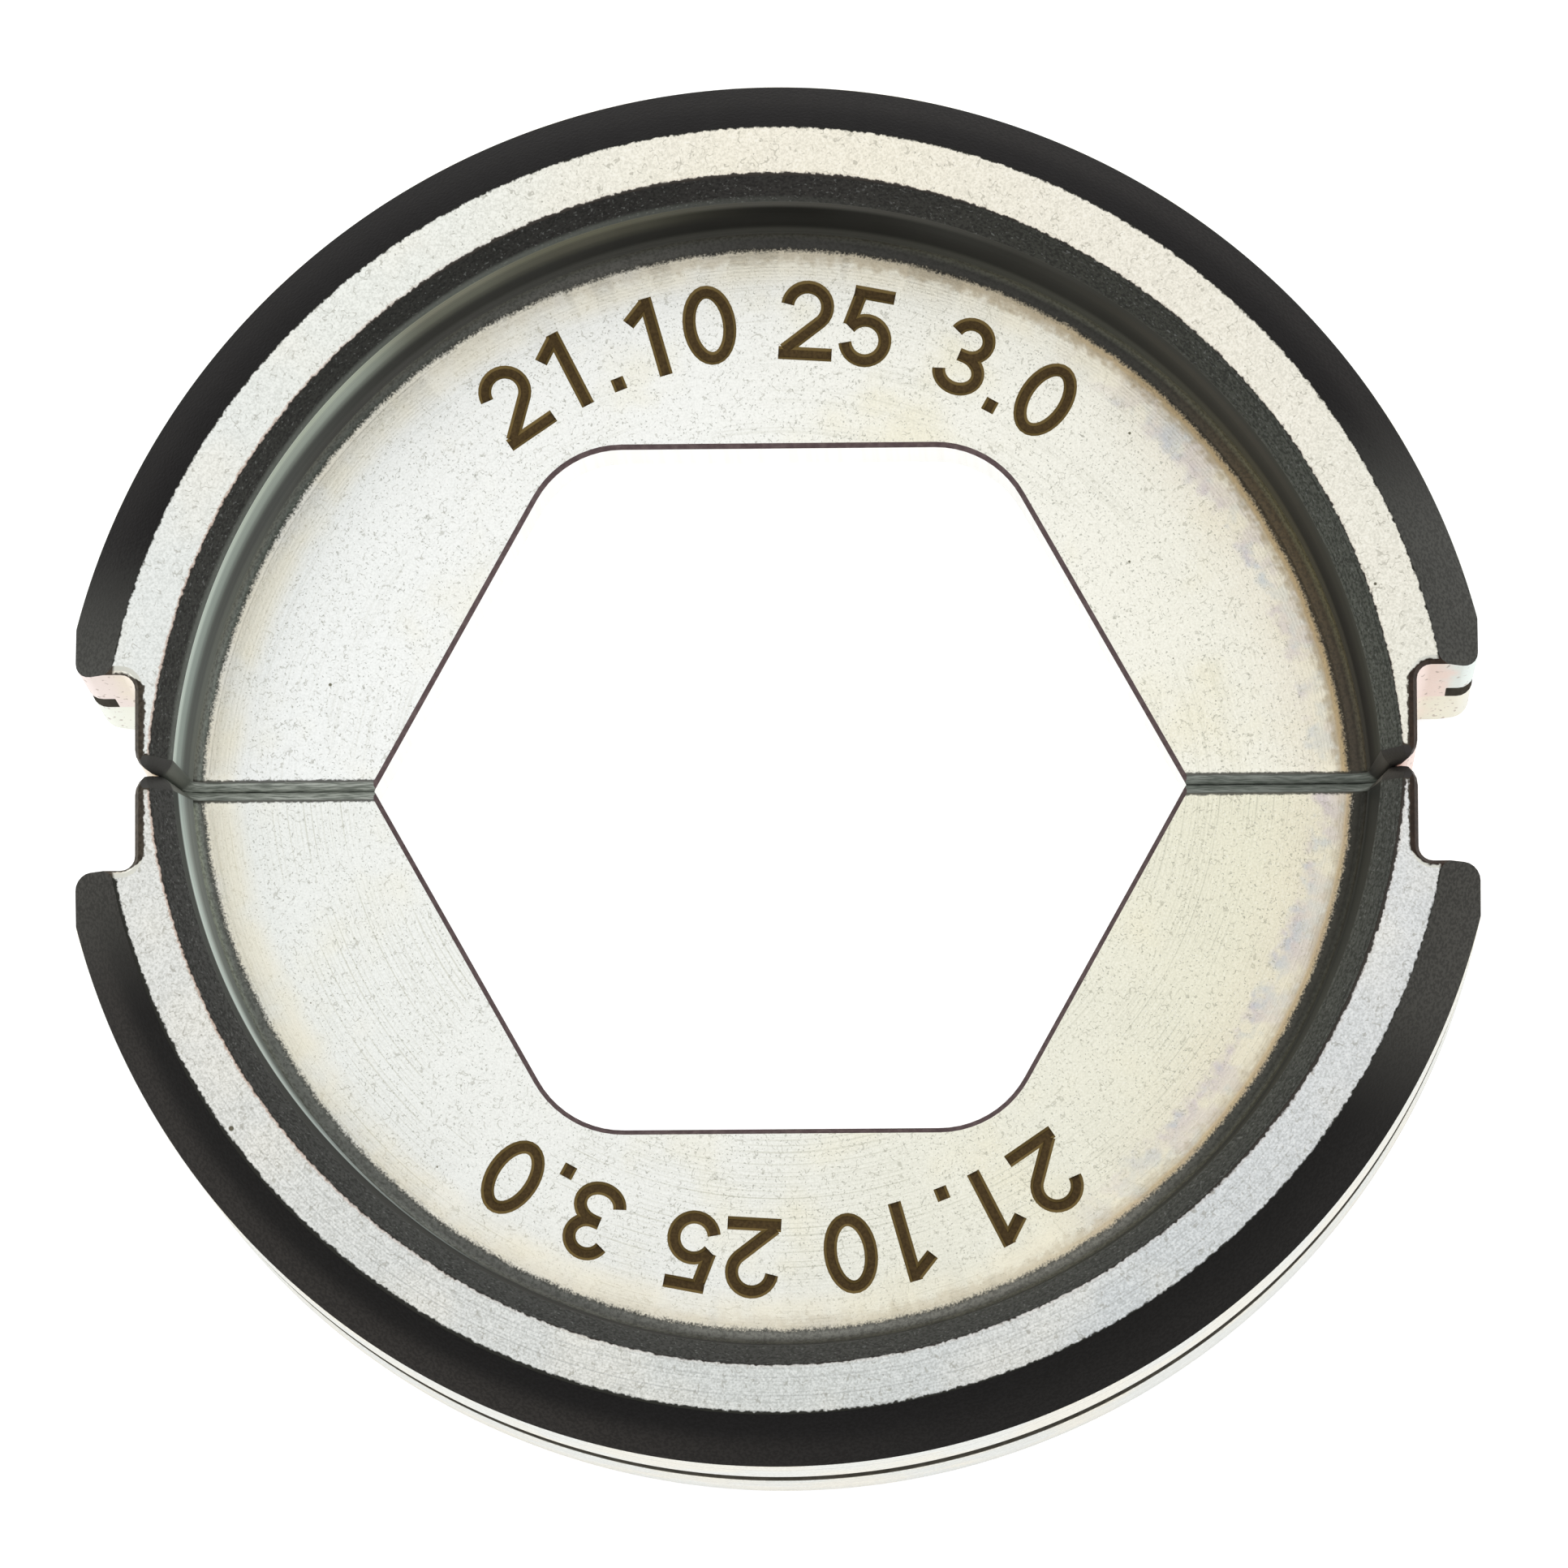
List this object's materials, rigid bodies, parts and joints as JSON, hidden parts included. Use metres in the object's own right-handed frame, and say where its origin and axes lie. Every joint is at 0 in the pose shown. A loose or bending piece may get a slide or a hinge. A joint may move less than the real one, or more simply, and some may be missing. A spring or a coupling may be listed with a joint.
{
  "type": "crimping die",
  "caption": "Pair of half-round crimping die inserts, closed on a hexagonal cavity in a thin web, with bevelled rims, seat groove and notched ends.",
  "frame": {"origin": "on the axis of the hexagonal cavity, in the plane of the rear rim face", "axes": "+Z along the cavity's axis from the rear rim to the front one, +X along the parting line between the halves, +Y from the lower half to the upper one"},
  "size_m": [0.0428, 0.0424, 0.014],
  "materials": {
    "plated_steel": "fine matt speckled bright plating with faint cream and lilac tints, darker on the bevels"
  },
  "bodies": {
    "root": {"upper_die_half": "plated_steel", "lower_die_half": "plated_steel"}
  },
  "joints": []
}
